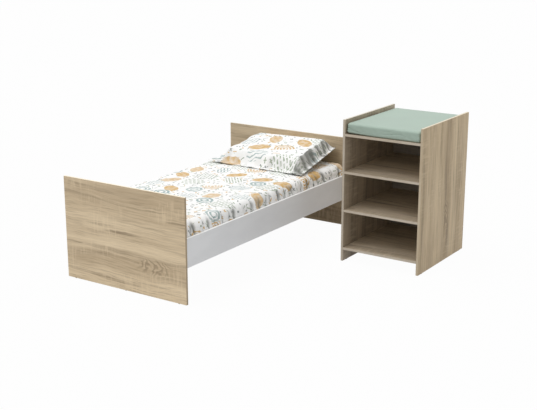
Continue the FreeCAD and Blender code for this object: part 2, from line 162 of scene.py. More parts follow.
# Painted shade: the shelves' grey and tone stand in for the colour of the shade in the niches.
SHELF_GRAIN = Grain("x", "y", 211.0, tone=0.92, grey=0.25, keen=1.3, fields=SHELF_PAINTED_LIGHT_AND_SHADE)
OAK_BOARDS = {
    "footboard": Grain("x", "z", 1.0, tone=1.08, flames=FOOT_FLAMES, figures=FOOT_FIGURES,
                       fields=FOOT_FIELDS),
    # Painted shade: the headboard's tone is lower than the footboard's.
    "headboard": Grain("x", "z", 61.0, tone=0.88, fields=HEAD_PAINTED_SHADOW),
    "unit_side_right": Grain("z", "y", 123.0, tone=0.86, grey=-0.12, flames=SIDE_FLAMES,
                             figures=SIDE_FIGURES, fields=SIDE_FIELDS),
    # Painted shade: the left side's grey stands in for the colour of the shade in the niches.
    "unit_side_left": Grain("z", "y", 187.0, tone=0.85, grey=0.25, fields=LEFT_PAINTED_SHADE),
    # Painted shade: the back is dark and grey, as the shade at the back of the niches.
    "unit_back": Grain("x", "z", 311.0, tone=0.62, grey=0.5, raw=True),
    "bottom_shelf": SHELF_GRAIN,
    "lower_shelf": SHELF_GRAIN._replace(seed=224.0),
    "upper_shelf": SHELF_GRAIN._replace(seed=237.0),
    "changing_top": SHELF_GRAIN._replace(seed=250.0),
}


def colour(name, description, default):
    """Colour property with its name, its description and a scene linear default."""
    return FloatVectorProperty(name=name, description=description, default=default, size=3, min=0, max=1,
                               subtype="COLOR")


def length(name, description, default):
    """Length property in metres."""
    return FloatProperty(name=name, description=description, default=default, unit="LENGTH")


def share(name, description, default):
    """Factor property between nothing and all."""
    return FloatProperty(name=name, description=description, default=default, min=0, max=1, subtype="FACTOR")


class BoardLooks(bpy.types.PropertyGroup):
    """Colours of the boards, the rails and the slatted base."""

    oak_light: colour("Oak, light", "Pale fields between the grain lines", (0.795, 0.645, 0.44))
    oak_middle: colour("Oak, middle", "Main tone of the oak laminate", (0.53, 0.41, 0.265))
    oak_dark: colour("Oak, dark", "Dark grain streaks", (0.27, 0.20, 0.125))
    oak_edge: colour("Oak edging", "Edge strips of the boards", (0.70, 0.60, 0.455))
    # Colour of edging that faces up: painted light from above.
    oak_painted_edge_light: colour("Oak rim", "Upper edges of the boards", (0.86, 0.78, 0.63))
    raw_back: colour("Raw back", "Rear of the thin back panel", (0.34, 0.22, 0.12))
    lacquer: colour("Lacquer", "White of the side rails", (0.875, 0.885, 0.90))
    # Painted highlight on the rails' upper faces.
    lacquer_painted_highlight: colour("Lacquer rim", "Upper edges of the side rails", (0.98, 0.98, 0.98))
    pine_light: colour("Pine, light", "Early wood of slats and battens", (0.76, 0.58, 0.36))
    pine_dark: colour("Pine, dark", "Late wood of slats and battens", (0.55, 0.35, 0.17))
    tape: colour("Tape", "Cotton tape under the slats", (0.70, 0.68, 0.62))


class FittingLooks(bpy.types.PropertyGroup):
    """Colours of the fittings."""

    steel: colour("Plated steel", "Bolts, screws, pins and nails", (0.62, 0.62, 0.61))
    zinc: colour("Cast zinc", "Cam locks", (0.48, 0.48, 0.49))
    beech: colour("Beech", "Dowels", (0.62, 0.43, 0.25))
    beech_fleck: colour("Beech fleck", "Dark lines in the dowels", (0.45, 0.28, 0.15))
    glide: colour("Glides", "Plastic floor glides", (0.12, 0.12, 0.12))


class BeddingLooks(bpy.types.PropertyGroup):
    """Sizes and colours of the mattress, the fitted sheet and the pillow."""

    ground: colour("Cloth", "White ground of the printed cotton", (0.95, 0.95, 0.94))
    ochre: colour("Ochre", "Large warm motifs of the print", (0.66, 0.42, 0.15))
    sage: colour("Sage", "Green motifs of the print", (0.30, 0.38, 0.26))
    teal: colour("Teal", "Blue green motifs of the print", (0.25, 0.37, 0.36))
    slate: colour("Grey", "Small motifs of the print", (0.24, 0.26, 0.25))
    # Colour of the painted shade in the folds; the yarn's slubs also draw faintly towards it.
    shadow: colour("Fold", "Cloth at the bottom of a fold", (0.165, 0.17, 0.15))
    ticking: colour("Ticking", "Knitted cover of the mattress", (0.78, 0.78, 0.75))
    motif_spacing: length("Motif spacing", "From one large motif to the next", 0.175)
    sprinkle_spacing: length("Sprinkle spacing", "From one small motif to the next", 0.039)
    corner: length("Corner", "Plan radius of the mattress corners", 0.060)
    edge: length("Edge", "Radius of the mattress edges", 0.056)
    crown: length("Crown", "Rise of the middle of the mattress", 0.005)
    hem: length("Hem", "Sheet drawn in under the mattress", 0.050)
    gather_depth: length("Gather depth", "Depth of the folds along the sides", 0.019)
    # Strength of the painted shade in the folds.
    fold_painted_shade: share("Fold shade", "Darkening at the bottom of a fold", 0.85)
    gather_spacing: length("Gather spacing", "Mean distance of the folds", 0.060)
    gather_puff: length("Gather puff", "Swell of the sides between the folds", 0.004)
    top_slack: length("Top slack", "Unevenness of the sheet's top", 0.0012)
    core_slack: length("Core slack", "Room between the mattress and the sheet's plain sides", 0.020)
    pillow_width: length("Pillow width", "Flat width of the pillow case", 0.745)
    pillow_depth: length("Pillow depth", "Flat depth of the pillow case", 0.595)
    pillow_volume: FloatProperty(name="Pillow volume", description="Filling of the pillow, in cubic metres",
                                 default=0.027, min=0)
    pillow_fullness: FloatProperty(name="Pillow fullness", description="1 for a lens, more for a flat top",
                                   default=2.0, min=1)
    pillow_border: length("Pillow border", "Slack border along the seams, at the middle of the pillow", 0.115)
    pillow_skew: share("Pillow skew", "Share by which the border widens away from the unit", 0.25)
    pillow_flange: length("Pillow flange", "Flat strip along the seams", 0.012)
    pillow_hem: length("Pillow hem", "Thickness of the two layers at the seams", 0.003)
    pillow_crease: share("Pillow crease", "Part of the border's swell that a gather takes", 0.75)
    pillow_bulge: length("Pillow bulge", "Swell of the short sides past a plain slope", 0.022)
    pillow_gathers: length("Pillow gathers", "Mean distance of the folds at the seams", 0.062)
    # Share of the painted fold shade that is left out on the side towards the light.
    pillow_painted_shade_lift: share("Pillow light", "Fold shade that is left out on the side towards the light", 0.80)
    pillow_flutter: length("Pillow flutter", "Sway of the slack border", 0.007)
    pillow_spread: share("Pillow spread", "Front edge pulled wider than the back", 0.075)
    pillow_shift: length("Pillow shift", "Off the middle of its place, towards the unit", 0.012)
    pillow_rise: length("Pillow rise", "Seam to the top of the pillow", 0.080)
    pillow_press: share("Pillow press", "Swell that is left on the underside", 0.22)
    pillow_sink: length("Pillow sink", "Underside flattened by the mattress", 0.010)
    pillow_tilt: FloatProperty(name="Pillow tilt", description="Back edge up against the headboard",
                               default=math.radians(9), unit="ROTATION")


class PadLooks(bpy.types.PropertyGroup):
    """Sizes and colours of the changing pad."""

    mint: colour("Mint", "Coated cloth of the changing pad", (0.395, 0.50, 0.425))
    spread: length("Spread", "Slack of the cover past the plain solid, on either side", 0.008)
    corner: length("Corner", "Plan radius of the pad's corners", 0.016)
    edge: length("Edge", "Radius of the pad's edges", 0.015)
    crown: length("Crown", "Rise of the middle of the pad", 0.003)
    crease_depth: length("Crease depth", "Depth of the slack folds on the sides", 0.0045)
    corner_lift: length("Corner lift", "Front left corner off the changing top", 0.006)


class StageLooks(bpy.types.PropertyGroup):
    """Floor, light and camera."""

    floor: colour("Floor", "Pale floor that the light bounces from", (0.60, 0.60, 0.60))
    floor_size: length("Floor size", "Side of the floor", 60.0)
    backdrop_share: share("Backdrop share", "White of the backdrop in what is seen of the floor", 0.97)
    ambient: FloatProperty(name="Ambient", description="Even light from all round", default=0.60, min=0)
    key: FloatProperty(name="Key", description="Soft light from above, in watts per square metre",
                       default=1.64, min=0)
    key_spread: FloatProperty(name="Key spread", description="Angle that the soft light fills",
                              default=math.radians(60), unit="ROTATION")
    key_from: FloatVectorProperty(name="Key from", description="Direction that the light comes from",
                                  default=(-0.24, -0.18, 0.954), size=3, subtype="DIRECTION")
    eye: FloatVectorProperty(name="Eye", description="Place of the camera", default=(3.7447, -5.6076, 2.2545),
                             size=3, subtype="TRANSLATION")
    dip: FloatProperty(name="Dip", description="Camera below the horizontal", default=0.2717, unit="ROTATION")
    swing: FloatProperty(name="Swing", description="Camera turned from +Y to the left", default=0.5875,
                         unit="ROTATION")
    lens: FloatProperty(name="Lens", description="Focal length", default=71.18, unit="CAMERA")


class Value:
    """A number from a node's socket. Sums on it add Math nodes, so that 1 - mask works."""

    def __init__(self, finish, socket):
        self.finish = finish
        self.socket = socket

    def math(self, operation, *others):
        """A Math node with this value first."""
        return self.finish.math(operation, self, *others)

    def __add__(self, other):
        return self.math("ADD", other)

    def __sub__(self, other):
        return self.math("SUBTRACT", other)

    def __rsub__(self, other):
        return self.finish.math("SUBTRACT", other, self)

    def __mul__(self, other):
        return self.math("MULTIPLY", other)

    def __truediv__(self, other):
        return self.math("DIVIDE", other)

    def __abs__(self):
        return self.math("ABSOLUTE")

    __radd__ = __add__
    __rmul__ = __mul__

    def ramp(self, low, high):
        """Smooth step from 0 at low to 1 at high; low may be the larger one."""
        start, end = (low, high) if low < high else (high, low)
        step = self.finish.node("ShaderNodeMapRange", {"interpolation_type": "SMOOTHSTEP"},
                                {"Value": self, "From Min": start, "From Max": end})
        return step if low < high else 1 - step

    def between(self, low, high):
        """1 where the value lies between two bounds, else 0."""
        return self.math("GREATER_THAN", low) * self.math("LESS_THAN", high)


class Nodes:
    """A node tree under construction, with one method that adds nodes."""

    def __init__(self, tree):
        self.tree = tree

    def node(self, kind, settings=None, inputs=None, output=0):
        """Adds a node: its settings first, then its sockets' values or links. Gives one of its outputs."""
        node = self.tree.nodes.new(kind)
        for name, value in (settings or {}).items():
            setattr(node, name, value)
        for socket, value in (inputs or {}).items():
            self.feed(node.inputs[socket], value)
        return Value(self, node.outputs[output])

    def feed(self, socket, value):
        """Links a value to a socket, or sets the socket to a plain number or colour."""
        if isinstance(value, Value):
            self.tree.links.new(value.socket, socket)
        elif socket.type == "RGBA":
            socket.default_value = (*value, 1)[:4]
        else:
            socket.default_value = value

    def math(self, operation, *values):
        """A Math node on values or plain numbers."""
        return self.node("ShaderNodeMath", {"operation": operation}, dict(enumerate(values)))

    def coordinate(self, output):
        """The three numbers of a texture coordinate, such as Object or Normal."""
        return self.split(self.node("ShaderNodeTexCoord", output=output))

    def cloth(self):
        """The two numbers of the piece's own cloth map, in metres of flat cloth."""
        return self.split(self.node("ShaderNodeUVMap", {"uv_map": CLOTH_UV}))[:2]

    def split(self, vector):
        """The three numbers of a vector or a colour."""
        node = self.tree.nodes.new("ShaderNodeSeparateXYZ")
        self.feed(node.inputs[0], vector)
        return [Value(self, socket) for socket in node.outputs]

    def join(self, *numbers):
        """A vector of up to three numbers."""
        return self.node("ShaderNodeCombineXYZ", inputs=dict(enumerate(numbers)))

    def noise(self, *place, detail=2.0, roughness=0.5):
        """Smooth noise from 0 to 1. Its place is given in waves: metres times waves per metre, or a seed."""
        return self.node("ShaderNodeTexNoise", inputs={"Vector": self.join(*place), "Scale": 1.0,
                                                       "Detail": detail, "Roughness": roughness})

    def mix(self, factor, first, second):
        """Colour between two colours."""
        return self.node("ShaderNodeMix", {"data_type": "RGBA"}, {0: factor, 6: first, 7: second}, output=2)


class Finish(Nodes):
    """A material under construction, with the shader's constant values."""

    def __init__(self, name, **constants):
        self.material = bpy.data.materials.new(name)
        self.material.use_nodes = True
        super().__init__(self.material.node_tree)
        self.shader = self.tree.nodes["Principled BSDF"]
        for socket, value in constants.items():
            self.shader.inputs[socket.replace("_", " ")].default_value = value

    def surface(self, base, roughness=None, height=None, relief=0.0003, strength=0.4):
        """Feeds the shader's base colour, roughness and a bump of that relief in metres."""
        self.feed(self.shader.inputs["Base Color"], base)
        if roughness is not None:
            self.feed(self.shader.inputs["Roughness"], roughness)
        if height is not None:
            bump = self.node("ShaderNodeBump", inputs={"Height": height, "Distance": relief,
                                                       "Strength": strength})
            self.feed(self.shader.inputs["Normal"], bump)
        return self.material


def board_marks(node, along, across, marks):
    """Marks on a board in metres, from shares of a board's length and width, with what they end with."""
    low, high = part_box(node)
    start, size = [[corner[AXIS[axis]] for axis in (along, across)] for corner in (low, high - low)]
    return [(start[0] + run * size[0], start[1] + side * size[1],
             half_run * size[0], half_side * size[1], *rest)
            for run, side, half_run, half_side, *rest in marks]


def scaled(parts, factor):
    """Each part of a colour or of a place, times a factor."""
    return [part * factor for part in parts]


def oak(node, looks):
    """Oak laminate on a board, with its grain along one axis: noise drawn out along the grain.

    Broad bands, streaks and fibres are noise at three widths across the grain, in a lane that sways.
    A flame is a long dark lens in that lane, a figure lays nested arcs over the grain, and a field is a
    soft lens that is lighter or darker; all are given by their middles and half sizes. The fields of the
    headboard, the shelves and the left side are painted shade and painted light. Faces that don't look
    along the board's thickness are edging; edging that faces along X is darkened as painted shade, and
    edging that faces up is lightened as painted light."""
    grain = OAK_BOARDS[node]
    seed = grain.seed
    flames, figures, fields = (board_marks(node, grain.along, grain.across, marks)
                               for marks in (grain.flames, grain.figures, grain.fields))
    paint = Finish("oak " + node.removeprefix("unit_").replace("_", " "), Specular_IOR_Level=0.35)
    place = paint.coordinate("Object")
    normal = paint.coordinate("Normal")
    run, side = place[AXIS[grain.along]], place[AXIS[grain.across]]
    depth = AXIS[(set(AXIS) - {grain.along, grain.across}).pop()]

    def reach(mark, across):
        """How far a place lies from a mark's middle, in its half sizes, and the square of that distance."""
        middle, off, half_run, half_side = mark[:4]
        ahead, aside = (run - middle) / half_run, (across - off) / half_side
        return ahead, aside, ahead * ahead + aside * aside

    sway = paint.noise(run * 1.3, side * 3.0, seed, detail=1.5)
    ripple = paint.noise(run * 9.0, side * 14.0, seed + 5.0, detail=2.0)
    lane = side + (sway - 0.5) * 0.07 + (ripple - 0.5) * 0.016
    bands = paint.noise(run * 0.5, lane * 9.0, seed + 11.0, detail=2.0).ramp(0.30, 0.70)
    streaks = paint.noise(run * 3.2, lane * 62.0, seed + 17.0, detail=4.0, roughness=0.65).ramp(0.32, 0.70)
    fibres = paint.noise(run * 14.0, lane * 330.0, seed + 23.0, detail=2.0).ramp(0.25, 0.75)
    veins = paint.noise(run * 1.1, lane * 24.0, seed + 31.0, detail=3.0)
    threads = paint.noise(run * 4.5, lane * 120.0, seed + 37.0, detail=3.0, roughness=0.6)
    light = bands * 0.45 + streaks * 0.38 + fibres * 0.17
    # Fields: on the headboard, the shelves and the left side these are painted shade and painted light.
    for mark in fields:
        light = light + reach(mark, lane)[2].ramp(1.6, 0.0) * mark[4]
    light = light.math("MINIMUM", 1.0).math("MAXIMUM", -0.35)
    dark = (veins.ramp(0.52, 0.72) * 0.45 + threads.ramp(0.48, 0.68) * (0.50 - bands * 0.28)) * grain.keen
    for mark in flames:
        lens = reach(mark, lane)[2].ramp(1.0, 0.1)
        dark = dark.math("MAXIMUM", lens * (streaks * 0.9 + 0.1))
    for mark in figures:
        ahead, aside, squared = reach(mark, side)
        near = squared.ramp(1.0, 0.15)
        nest = (ahead * 0.5 + aside * aside * 0.3 + (ripple - 0.5) * 0.75) * (mark[4] * math.tau)
        arcs = nest.math("SINE").ramp(-0.4, 1.0)
        dark = dark * (1 - near * 0.4) + arcs * near * 0.6
    saw_zone = paint.noise(run * 2.2, side * 4.0, seed + 41.0).ramp(0.42, 0.60)
    saw = paint.noise(run * 62.0, side * 9.0, seed + 47.0, detail=2.0).ramp(0.48, 0.64) * saw_zone
    light_tone, middle_tone, dark_tone, edge_tone, painted_edge_light_tone = (
        [grain.tone * (part + (sum(shade) / 3 - part) * grain.grey) for part in shade]
        for shade in (looks.oak_light, looks.oak_middle, looks.oak_dark, looks.oak_edge, looks.oak_painted_edge_light))
    deep_tone = [0.5 * (middle + dark) for middle, dark in zip(middle_tone, dark_tone)]
    face = paint.mix(light.ramp(-0.35, 0.0), deep_tone, paint.mix(light, middle_tone, light_tone))
    face = paint.mix(dark, face, dark_tone)
    face = paint.mix(saw * 0.38, face, light_tone)
    edging = paint.mix(streaks * 0.6, edge_tone, middle_tone)
    # Painted shade: edging that faces along X turns to the deep tone.
    edging = paint.mix(abs(normal[0]).ramp(0.5, 0.9), edging, deep_tone)
    # Painted light: edging that faces up turns to the lighter edge tone.
    edging = paint.mix(normal[2].ramp(0.5, 0.9), edging, painted_edge_light_tone)
    on_face = abs(normal[depth]).ramp(0.45, 0.75)
    base = paint.mix(on_face, edging, face)
    if grain.raw:
        rear = paint.mix(fibres, looks.raw_back, looks.oak_dark)
        base = paint.mix(normal[depth].ramp(0.5, 0.7), base, rear)
    height = fibres * 0.6 + streaks * 0.5 - dark * 0.5 + saw * 0.3
    return paint.surface(base, 0.56 - streaks * 0.14, height, relief=0.0004, strength=0.35)


def planed_wood(name, early, late, along, across):
    """Planed solid wood: late-wood lines that sway along the grain, fibres and a few dark knots."""
    paint = Finish(name, Specular_IOR_Level=0.3)
    place = paint.coordinate("Object")
    run, side = place[AXIS[along]], place[AXIS[across]]
    sway = paint.noise(run * 1.5, side * 4.0, place[2], detail=2.0)
    lines = ((side * 330.0 + sway * 26.0).math("SINE") + 1) * 0.5
    fibres = paint.noise(run * 14.0, side * 500.0, place[2] * 200.0)
    knot = paint.node("ShaderNodeTexVoronoi", {"voronoi_dimensions": "2D"},
                      {"Vector": paint.join(run * 2.2, side * 9.0, 0.0), "Scale": 1.0}).ramp(0.12, 0.05)
    lateness = lines.ramp(0.3, 1.0) * 0.55 + (fibres - 0.5) * 0.3 + knot * 0.7
    base = paint.mix(lateness, early, late)
    return paint.surface(base, 0.55 + (fibres - 0.5) * 0.2, fibres + lines * 0.5, relief=0.0003)


def lacquer(name, looks):
    """Sprayed satin lacquer: a faint cloudiness, painted highlight on upper faces, a soft orange-peel relief.
    """
    paint = Finish(name, Specular_IOR_Level=0.5)
    x, y, z = paint.coordinate("Object")
    cloud = paint.noise(x * 3.0, y * 3.0, z * 9.0, detail=3.0)
    peel = paint.noise(*scaled((x, y, z), 420.0), detail=1.0)
    base = paint.mix(cloud.ramp(0.35, 0.65), scaled(looks.lacquer, 0.95), looks.lacquer)
    # Painted highlight: faces that look up turn whiter.
    base = paint.mix(paint.coordinate("Normal")[2].ramp(0.5, 0.9), base, looks.lacquer_painted_highlight)
    return paint.surface(base, 0.34 + (cloud - 0.5) * 0.12, peel, relief=0.00008, strength=0.5)


def metal(name, tint, roughness):
    """Plated or cast metal with a patchy dullness and fine tooling marks."""
    paint = Finish(name, Metallic=1.0)
    place = paint.coordinate("Object")
    patch = paint.noise(*scaled(place, 130.0), detail=3.0)
    marks = paint.noise(*scaled(place, 900.0), detail=2.0)
    base = paint.mix(patch.ramp(0.3, 0.7), scaled(tint, 0.72), tint)
    return paint.surface(base, (patch - 0.5) * 0.35 + roughness, marks, relief=0.00005)


def moulded(name, tint):
    """Moulded plastic with a fine grain and scuffs."""
    paint = Finish(name, Specular_IOR_Level=0.4)
    x, y, z = paint.coordinate("Object")
    scuff = paint.noise(x * 220.0, y * 220.0, z * 60.0, detail=3.0)
    grain = paint.noise(*scaled((x, y, z), 1500.0))
    base = paint.mix(scuff.ramp(0.4, 0.75), tint, scaled(tint, 1.9))
    return paint.surface(base, 0.45 + (scuff - 0.5) * 0.3, grain, relief=0.00006)


def woven(first, second, pitch):
    """Plain weave on two cloth directions: the product of two waves of that pitch, from 0 to 1."""
    waves = [((line * (math.tau / pitch)).math("SINE") + 1) * 0.5 for line in (first, second)]
    return waves[0] * (1 - waves[1]) + waves[1] * (1 - waves[0])


def plain_cloth(name, tint, pitch, axes="xy"):
    """Undyed woven or knitted cloth on object coordinates, with slubs in the yarn."""
    paint = Finish(name, Roughness=0.9, Specular_IOR_Level=0.15, Sheen_Weight=0.15)
    place = paint.coordinate("Object")
    first, second = (place[AXIS[axis]] for axis in axes)
    weave = woven(first, second, pitch)
    slub = paint.noise(first * 40.0, second * 160.0, place[2] * 60.0, detail=3.0)
    base = paint.mix(slub.ramp(0.3, 0.7) * 0.6 + weave * 0.3, scaled(tint, 0.84), tint)
    return paint.surface(base, height=weave + slub, relief=0.0005)


def motif_cell(paint, first, second, spacing, jitter):
    """The print's cell at a place: its place from the cell's own middle, turned by chance, and its chances.

    The place is in shares of the spacing."""
    first, second = first / spacing, second / spacing
    settings = {"voronoi_dimensions": "2D"}
    inputs = {"Vector": paint.join(first, second, 0.0), "Scale": 1.0, "Randomness": jitter}
    middle = paint.split(paint.node("ShaderNodeTexVoronoi", settings, inputs, output="Position"))
    chance = paint.split(paint.node("ShaderNodeTexVoronoi", settings, inputs, output="Color"))
    x, y = first - middle[0], second - middle[1]
    cosine, sine = ((chance[0] * math.tau).math(name) for name in ("COSINE", "SINE"))
    return x * cosine + y * sine, y * cosine - x * sine, chance


def distance(x, y):
    """Distance from a cell's middle."""
    return (x * x + y * y).math("SQRT")


def printed_cotton(name, looks):
    """White cotton with a scattered print of pebbles, arches, rings, waves and rows of strokes.

    Each cell of a jittered grid holds one motif, chosen and turned by the cell's own chances. A motif is
    where a distance from the cell's middle, as a share of the cell, lies inside its outline."""
    paint = Finish(name, Roughness=0.85, Specular_IOR_Level=0.2, Sheen_Weight=0.1)
    first, second = paint.cloth()
    wobble = paint.noise(first * 17.0, second * 17.0, 3.0, detail=2.0)
    drift = (wobble - 0.5) * 0.03
    x, y, chance = motif_cell(paint, first + drift, second - drift, looks.motif_spacing, 0.55)
    off = distance(x, y)

    pebble = distance(x * 0.62, y).ramp(0.27, 0.255)
    arch = off.ramp(0.40, 0.39) * y.ramp(-0.09, -0.08) * (off * 57.0).math("SINE").ramp(-0.45, -0.15)
    row = (y * 9.0).math("FLOOR")
    slot = (x * 4.4 + row * 0.5).math("FRACT") - 0.5
    lane = (y * 9.0).math("FRACT") - 0.5
    strokes = abs(slot).ramp(0.36, 0.31) * abs(lane).ramp(0.27, 0.20)
    strokes = strokes * distance(x * 0.85, y).ramp(0.41, 0.38)
    ring = abs(off - 0.27).ramp(0.05, 0.04).math("MAXIMUM", abs(off - 0.13).ramp(0.045, 0.035))
    crest = ((y + (x * 17.0).math("SINE") * 0.035) * 46.0).math("SINE").ramp(0.25, 0.55)
    wave = crest * distance(x * 0.8, y * 1.25).ramp(0.36, 0.34)

    pick = chance[1]
    wash = paint.noise(first * 36.0, second * 36.0, 9.0, detail=3.0).ramp(0.3, 0.7)
    ink = chance[2] * 0.25 + wash * 0.45 + 0.42
    base = looks.ground
    for shape, low, high, tint in ((pebble, -0.01, 0.26, looks.ochre), (arch, 0.26, 0.42, looks.ochre),
                                   (strokes, 0.42, 0.68, looks.sage), (ring, 0.68, 0.82, looks.teal),
                                   (wave, 0.82, 1.01, looks.teal)):
        base = paint.mix(shape * pick.between(low, high) * ink, base, tint)

    u, v, luck = motif_cell(paint, first + drift, second + drift, looks.sprinkle_spacing, 0.85)
    dash = abs(u).ramp(0.40, 0.36) * abs(v).ramp(0.10, 0.06)
    cross = dash.math("MAXIMUM", abs(v).ramp(0.32, 0.28) * abs(u).ramp(0.10, 0.06))
    spot = distance(u, v).ramp(0.20, 0.16)
    small = dash * luck[1].between(-0.01, 0.40) + cross * luck[1].between(0.40, 0.62)
    small = small + spot * luck[1].between(0.62, 0.90)
    tint = paint.mix(luck[2].ramp(0.40, 0.45), looks.slate, looks.sage)
    tint = paint.mix(luck[2].ramp(0.76, 0.80), tint, looks.ochre)
    base = paint.mix(small * off.ramp(0.34, 0.38) * 0.9, base, tint)

    weave = woven(first, second, pitch=0.0011)
    slub = paint.noise(first * 90.0, second * 300.0, 1.0, detail=2.0)
    # Painted shade: the fold attribute, with the yarn's slubs, mixes the cloth towards the fold shade colour.
    painted_shade_in_folds = paint.node("ShaderNodeAttribute", {"attribute_name": PAINTED_FOLD_SHADE}, output="Fac")
    shade = (slub - 0.5) * 0.10 + 0.01 + painted_shade_in_folds
    base = paint.mix(shade, base, looks.shadow)
    return paint.surface(base, height=weave + slub, relief=0.0002, strength=0.3)


def coated_cloth(name, tint):
    """Wipe-clean coated cloth: a leathery pebble of two cell sizes and a soft, uneven sheen."""
    paint = Finish(name, Specular_IOR_Level=0.35, Sheen_Weight=0.08)
    place = paint.coordinate("Object")
    cloud = paint.noise(*scaled(place, 5.0), detail=3.0)
    pebble = paint.node("ShaderNodeTexVoronoi", inputs={"Vector": paint.join(*place), "Scale": 620.0})
    mottle = paint.noise(*scaled(place, 70.0), detail=3.0)
    base = paint.mix(cloud.ramp(0.3, 0.7) * 0.7 + (mottle - 0.5) * 0.2, scaled(tint, 0.93), tint)
    sheen = 0.55 + (cloud - 0.5) * 0.15
    return paint.surface(base, sheen, pebble + mottle * 0.25, relief=0.0002, strength=0.3)


def dress(material, *nodes):
    """Gives the shown CAD nodes a material."""
    for node in nodes:
        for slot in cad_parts[node].material_slots:
            slot.material = material


def grid_faces(rows, columns, wrap):
    """Corner numbers of the quads of a grid, as rows of four; the columns join up where wrap is set."""
    index = np.arange(rows * columns).reshape(rows, columns)
    near = np.roll(index, -1, axis=1) if wrap else index[:, 1:]
    here = index if wrap else index[:, :-1]
    return np.stack([here[:-1], near[:-1], near[1:], here[1:]], axis=-1).reshape(-1, 4)


def make_piece(name, points, faces, material, cloth=None):
    """Smooth mesh object from points and quads, with the flat place of each point as its cloth map."""
    mesh = bpy.data.meshes.new(name)
    mesh.from_pydata(points.reshape(-1, 3).tolist(), [], faces.tolist())
    if cloth is not None:
        layer = mesh.uv_layers.new(name=CLOTH_UV)
        corners = np.zeros(len(mesh.loops), dtype=np.int32)
        mesh.loops.foreach_get("vertex_index", corners)
        layer.data.foreach_set("uv", cloth.reshape(-1, 2)[corners].astype(np.float32).ravel())
    mesh.shade_smooth()
    if material is not None:
        mesh.materials.append(material)
    piece = bpy.data.objects.new(name, mesh)
    bpy.context.scene.collection.objects.link(piece)
    return piece


def close_up(piece, gap):
    """Merges the points nearer than a gap and turns all faces outwards."""
    work = bmesh.new()
    work.from_mesh(piece.data)
    bmesh.ops.remove_doubles(work, verts=work.verts, dist=gap)
    bmesh.ops.recalc_face_normals(work, faces=work.faces)
    work.to_mesh(piece.data)
    work.free()
    piece.data.update()


def smooth_step(values, low, high):
    """0 up to low, 1 from high, and 3tt - 2ttt on the way t between them."""
    way = np.clip((values - low) / (high - low), 0, 1)
    return way * way * (3 - 2 * way)


def waves(values, wavelengths, seed):
    """Sum of sines of the given wavelengths with seeded phases, scaled to about one."""
    phases = np.random.default_rng(seed).uniform(0, math.tau, len(wavelengths))
    turns = values[..., None] * (math.tau / np.asarray(wavelengths)) + phases
    return np.sin(turns).sum(axis=-1) / math.sqrt(len(wavelengths))


def rounded_loop(half_x, half_y, corner, count):
    """Points of a rectangle's corner centres with the outward direction, evenly along a rounded rectangle.

    Returns the centre line, the directions, and the distance along the outline, starting on +X."""
    straight = np.array([half_y - corner, half_x - corner] * 2) * 2
    bend = corner * math.pi / 2
    lengths = np.ravel(np.column_stack([straight, np.full(4, bend)]))
    ends = np.cumsum(lengths)
    along = (np.arange(count) + 0.5) / count * ends[-1]
    part = np.searchsorted(ends, along)
    rest = along - (ends - lengths)[part]
    quarter = part // 2
    turning = part % 2 == 1
    angle = quarter * math.pi / 2 + np.where(turning, rest / corner, 0)
    out = np.column_stack([np.cos(angle), np.sin(angle)])
    base = quarter * math.pi / 2
    face = np.column_stack([np.cos(base), np.sin(base)])
    sideways = np.column_stack([-face[:, 1], face[:, 0]])
    reach = np.abs(face @ np.array([half_x - corner, half_y - corner]))
    half = straight[quarter] / 2
    shift = np.where(turning, half, rest - half)
    return face * reach[:, None] + sideways * shift[:, None], out, along


def cushion_grid(low, high, corner, edge, crown, columns, steps, hem):
    """Rounded block between two corners of a box: a profile carried round a rounded rectangle.

    The profile starts a hem's width in under the block, turns round its lower edge, climbs its side, turns
    round its upper edge and runs over the crowned top to a line along the middle. Returns the points,
    their outward directions, their flat places as cloth, the distance of each column round the outline,
    and for each row its share of the way up the side and over the top."""
    under_steps, round_steps, side_steps, top_steps = steps
    middle, half = (low + high) / 2, (high - low) / 2
    centre, out, along = rounded_loop(half.x, half.y, corner, columns)
    shoulder = high.z - low.z - crown
    turn = np.linspace(0, math.pi / 2, round_steps)
    under = np.linspace(hem, edge, under_steps, endpoint=False)
    wall = np.linspace(edge, shoulder - edge, side_steps + 2)[1:-1]
    upright = np.zeros(side_steps)
    tilt = np.concatenate([np.full(under_steps, -math.pi / 2), turn - math.pi / 2, upright, turn])
    inset = np.concatenate([under, edge * (1 - np.sin(turn)), upright, edge * (1 - np.cos(turn))])
    rise = np.concatenate([np.zeros(under_steps), edge * (1 - np.cos(turn)), wall,
                           shoulder - edge * (1 - np.sin(turn))])
    reach = np.maximum(corner - inset, 0)
    sides = centre[None] + out[None] * reach[:, None, None]
    deep = np.maximum(inset - corner, 0) / min(half.x - corner, half.y - corner)
    spine = np.clip(centre, *np.array([[-1], [1]]) * np.maximum([half.x - half.y, half.y - half.x], 0))
    sides += (spine - centre)[None] * np.minimum(deep, 1)[:, None, None]
    drop = np.concatenate([np.cumsum(np.hypot(np.diff(inset), np.diff(rise))[::-1])[::-1], [0]])
    flat = sides[-1][None] + out[None] * drop[:, None, None]

    spread = np.linspace(0, 1, top_steps + 1)[1:]
    top = sides[-1][None] + (spine - sides[-1])[None] * spread[:, None, None]
    lift = shoulder + crown * (1 - (1 - spread) ** 2)

    plan = np.concatenate([sides, top]) + np.array([middle.x, middle.y])
    height = np.concatenate([rise, lift]) + low.z
    points = np.dstack([plan, np.repeat(height[:, None], columns, axis=1)])
    tilt = np.concatenate([tilt, np.full(top_steps, math.pi / 2)])[:, None, None]
    facing = np.concatenate([out[None] * np.cos(tilt), np.repeat(np.sin(tilt), columns, axis=1)], axis=-1)
    climb = np.concatenate([rise / shoulder, np.ones(top_steps)])
    over = np.concatenate([np.zeros(len(rise)), spread])
    return points, facing, np.concatenate([flat, top]), along, climb, over


